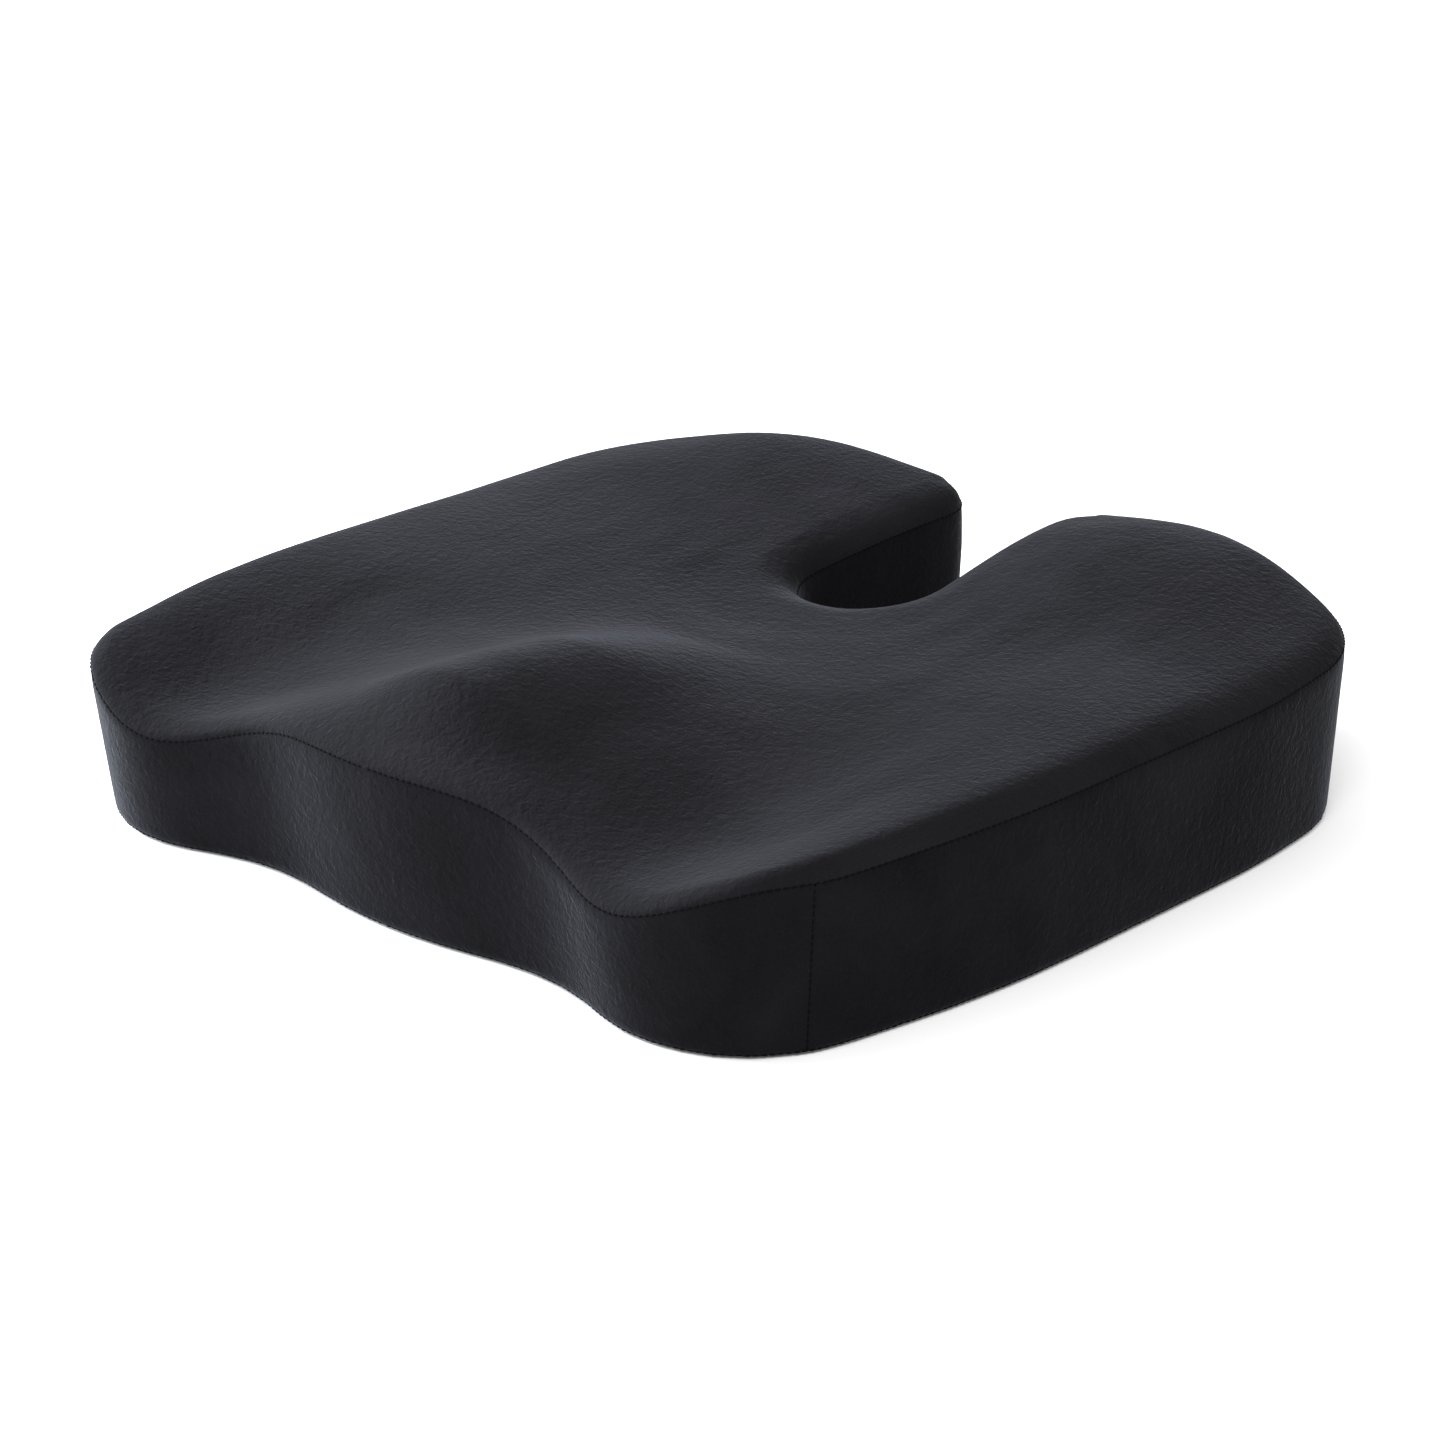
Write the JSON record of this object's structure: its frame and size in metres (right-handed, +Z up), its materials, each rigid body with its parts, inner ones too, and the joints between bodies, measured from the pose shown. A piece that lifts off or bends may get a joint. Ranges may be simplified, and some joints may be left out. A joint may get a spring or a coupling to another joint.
{
  "type": "coccyx seat cushion",
  "caption": "U-shaped contoured memory foam seat cushion with a coccyx notch, thigh grooves and a zipped, removable dark pile-fabric cover.",
  "frame": {"origin": "middle of the base, on the surface that the cushion lies on", "axes": "+X to the sitter's right, +Y to the backrest where the notch opens, +Z up"},
  "size_m": [0.45, 0.428, 0.0953],
  "materials": {
    "pile_fabric": "short pile velour, soft sheen",
    "base_fabric": "matt woven fabric with small rubber grip dots",
    "sewing_thread": "matt twisted polyester",
    "zip_tape": "matt woven tape",
    "zip_teeth": "black enamel",
    "zip_metal": "black enamel, satin",
    "memory_foam": "matt open-cell skin"
  },
  "bodies": {
    "cushion": {"foam_core": "memory_foam", "top_panel": "pile_fabric", "front_band": "pile_fabric", "right_side_band": "pile_fabric", "left_side_band": "pile_fabric", "notch_band": "pile_fabric", "base_panel": "base_fabric", "top_seam": "sewing_thread", "base_seam": "sewing_thread", "front_right_band_seam": "sewing_thread", "front_left_band_seam": "sewing_thread", "notch_right_band_seam": "sewing_thread", "notch_left_band_seam": "sewing_thread", "zip_tape_upper": "zip_tape", "zip_tape_lower": "zip_tape", "zip_teeth_upper": "zip_teeth", "zip_teeth_lower": "zip_teeth", "zip_top_stops": "zip_teeth", "zip_bottom_stop": "zip_teeth"},
    "zip_slider": {"zip_slider": "zip_metal"},
    "zip_pull_tab": {"zip_pull_tab": "zip_metal"}
  },
  "joints": [
    {"name": "zip_slide", "type": "slide", "parent": "cushion", "child": "zip_slider", "axis": [0.0446, -0.999, 0], "range_m": [0, 0.1998], "deforming": ["zip_teeth_upper", "zip_teeth_lower"]},
    {"name": "zip_pull_hinge", "type": "hinge", "parent": "zip_slider", "child": "zip_pull_tab", "pos_m": [-0.22054, 0.10633, 0.017], "axis": [0, 0, -1], "range_deg": [0, 165]}
  ]
}
